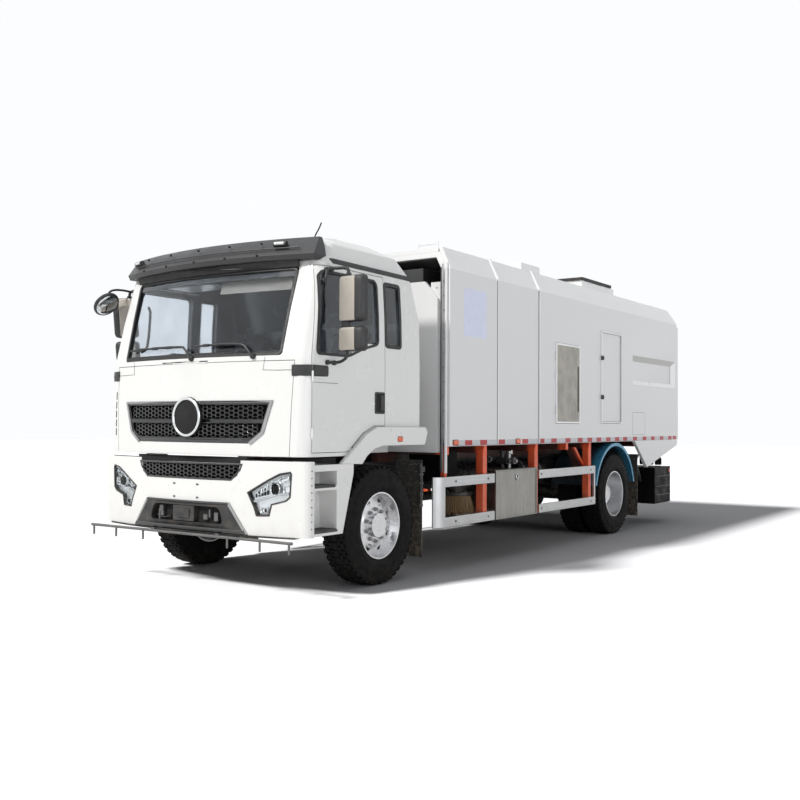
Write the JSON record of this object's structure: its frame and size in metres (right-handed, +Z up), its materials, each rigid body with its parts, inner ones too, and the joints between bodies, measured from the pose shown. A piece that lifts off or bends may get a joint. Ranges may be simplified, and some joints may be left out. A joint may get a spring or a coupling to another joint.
{
  "type": "street sweeper truck",
  "caption": "Two-axle forward-control street sweeping lorry with a closed sweeping body, side brooms, a rear sweeping box, tilting cab and opening doors.",
  "frame": {"origin": "on the ground under the middle of the vehicle's outer box, half-way across and half-way along", "axes": "+X to the vehicle's left, +Y towards its tail, +Z up; the cab faces -Y"},
  "size_m": [2.968, 8.498, 3.33],
  "materials": {
    "frame_paint": "satin black frame paint",
    "engine_casting": "painted casting",
    "tank_metal": "brushed",
    "cab_white": "gloss white cab paint",
    "cab_plastic_white": "gloss white moulding",
    "black_plastic": "satin black moulding",
    "visor_plastic": "charcoal moulding",
    "lamp_lens": "clear lens over reflectors",
    "cab_glass": "lightly tinted",
    "seat_fabric": "dark seat cloth",
    "dash_plastic": "grained dashboard",
    "body_white": "gloss white body paint",
    "floor_steel": "primer grey",
    "housing_dark": "dark grey",
    "subframe_orange": "orange-red paint",
    "fender_blue": "blue paint",
    "guard_aluminium": "satin rail",
    "cabinet_steel": "brushed stainless",
    "bar_steel": "dark grey",
    "flap_rubber": "moulded flap",
    "tyre_rubber": "tyre black",
    "wheel_metal": "satin wheel",
    "sweep_black": "black sweeping box",
    "broom_bristle": "brown bristles"
  },
  "bodies": {
    "chassis": {"frame_rails": "frame_paint", "engine": "engine_casting", "front_axle": "frame_paint", "rear_axle": "frame_paint", "fuel_tank": "tank_metal", "bumper": "cab_plastic_white", "bumper_grille": "black_plastic", "headlamps": "lamp_lens", "spray_bar": "bar_steel", "cab_steps": "cab_plastic_white", "mudflaps": "flap_rubber", "rear_fenders": "fender_blue", "subframe": "subframe_orange", "side_guards": "guard_aluminium", "tool_cabinet": "cabinet_steel", "body_side_left": "body_white", "body_side_right": "body_white", "body_roof": "body_white", "body_floor": "floor_steel", "body_front": "body_white", "intake_housing": "housing_dark", "sweep_box": "sweep_black"},
    "cab": {"cab_shell": "cab_white", "cab_glass": "cab_glass", "sun_visor": "visor_plastic", "cab_arches": "cab_plastic_white", "seats": "seat_fabric", "dashboard": "dash_plastic"},
    "front_flap": {"front_flap": "cab_white", "upper_grille": "black_plastic"},
    "tailgate": {"tailgate": "body_white"},
    "mesh_door": {"mesh_door": "body_white"},
    "plain_door": {"plain_door": "body_white"},
    "roof_lid": {"roof_lid": "flap_rubber"},
    "cabinet_door": {"cabinet_door": "cabinet_steel"},
    "door_left": {"cab_door_left": "cab_white", "door_glass_left": "cab_glass", "mirror_left": "black_plastic"},
    "steer_left": {"steering_knuckle_left": "frame_paint"},
    "wheel_front_left": {"front_tyre_left": "tyre_rubber", "front_rim_left": "wheel_metal"},
    "wheel_rear_left": {"rear_tyres_left": "tyre_rubber", "rear_rims_left": "wheel_metal"},
    "broom_arm_left": {"broom_arm_left": "frame_paint"},
    "broom_left": {"side_broom_left": "broom_bristle"},
    "door_right": {"cab_door_right": "cab_white", "door_glass_right": "cab_glass", "mirror_right": "black_plastic"},
    "steer_right": {"steering_knuckle_right": "frame_paint"},
    "wheel_front_right": {"front_tyre_right": "tyre_rubber", "front_rim_right": "wheel_metal"},
    "wheel_rear_right": {"rear_tyres_right": "tyre_rubber", "rear_rims_right": "wheel_metal"},
    "broom_arm_right": {"broom_arm_right": "frame_paint"},
    "broom_right": {"side_broom_right": "broom_bristle"}
  },
  "joints": [
    {"name": "cab_tilt", "type": "hinge", "parent": "chassis", "child": "cab", "pos_m": [0, -4.16, 1.14], "axis": [1, 0, 0], "range_deg": [0, 45]},
    {"name": "front_flap_hinge", "type": "hinge", "parent": "cab", "child": "front_flap", "pos_m": [0, -4.184, 1.874], "axis": [-1, 0, 0], "range_deg": [0, 75]},
    {"name": "tailgate_hinge", "type": "hinge", "parent": "chassis", "child": "tailgate", "pos_m": [0, 4.24, 2.812], "axis": [1, 0, 0], "range_deg": [0, 75]},
    {"name": "mesh_door_hinge", "type": "hinge", "parent": "chassis", "child": "mesh_door", "pos_m": [1.252, 0.1575, 1.848], "axis": [0, 0, -1], "range_deg": [0, 110]},
    {"name": "plain_door_hinge", "type": "hinge", "parent": "chassis", "child": "plain_door", "pos_m": [1.252, 1.4275, 1.968], "axis": [0, 0, -1], "range_deg": [0, 110]},
    {"name": "roof_lid_hinge", "type": "hinge", "parent": "chassis", "child": "roof_lid", "pos_m": [0, 3.03, 3.2905], "axis": [-1, 0, 0], "range_deg": [0, 80]},
    {"name": "cabinet_door_hinge", "type": "hinge", "parent": "chassis", "child": "cabinet_door", "pos_m": [1.225, -0.719, 0.417], "axis": [0, 1, 0], "range_deg": [0, 90]},
    {"name": "door_left_hinge", "type": "hinge", "parent": "cab", "child": "door_left", "pos_m": [1.172, -3.998, 1.525], "axis": [0, 0, -1], "range_deg": [0, 70]},
    {"name": "steer_left", "type": "hinge", "parent": "chassis", "child": "steer_left", "pos_m": [0.86, -3.04, 0.44], "axis": [0, 0, 1], "range_deg": [-38, 38]},
    {"name": "front_wheel_left_spin", "type": "hinge", "parent": "steer_left", "child": "wheel_front_left", "pos_m": [1.02, -3.04, 0.506], "axis": [1, 0, 0], "continuous": true},
    {"name": "rear_wheel_left_spin", "type": "hinge", "parent": "chassis", "child": "wheel_rear_left", "pos_m": [0.928, 1.96, 0.506], "axis": [1, 0, 0], "continuous": true},
    {"name": "broom_arm_left_lift", "type": "hinge", "parent": "chassis", "child": "broom_arm_left", "pos_m": [0.5, -1.4, 0.745], "axis": [0, 1, 0], "range_deg": [0, 20]},
    {"name": "broom_left_spin", "type": "hinge", "parent": "broom_arm_left", "child": "broom_left", "pos_m": [0.9, -1.4, 0.6], "axis": [0, 0, 1], "continuous": true},
    {"name": "door_right_hinge", "type": "hinge", "parent": "cab", "child": "door_right", "pos_m": [-1.172, -3.998, 1.525], "axis": [0, 0, 1], "range_deg": [0, 70]},
    {"name": "steer_right", "type": "hinge", "parent": "chassis", "child": "steer_right", "pos_m": [-0.86, -3.04, 0.44], "axis": [0, 0, 1], "range_deg": [-38, 38]},
    {"name": "front_wheel_right_spin", "type": "hinge", "parent": "steer_right", "child": "wheel_front_right", "pos_m": [-1.02, -3.04, 0.506], "axis": [1, 0, 0], "continuous": true},
    {"name": "rear_wheel_right_spin", "type": "hinge", "parent": "chassis", "child": "wheel_rear_right", "pos_m": [-0.928, 1.96, 0.506], "axis": [1, 0, 0], "continuous": true},
    {"name": "broom_arm_right_lift", "type": "hinge", "parent": "chassis", "child": "broom_arm_right", "pos_m": [-0.5, -1.4, 0.745], "axis": [0, -1, 0], "range_deg": [0, 20]},
    {"name": "broom_right_spin", "type": "hinge", "parent": "broom_arm_right", "child": "broom_right", "pos_m": [-0.9, -1.4, 0.6], "axis": [0, 0, 1], "continuous": true}
  ],
  "couplings": [
    {"joint": "steer_right", "follows": "steer_left", "ratio": 1}
  ]
}
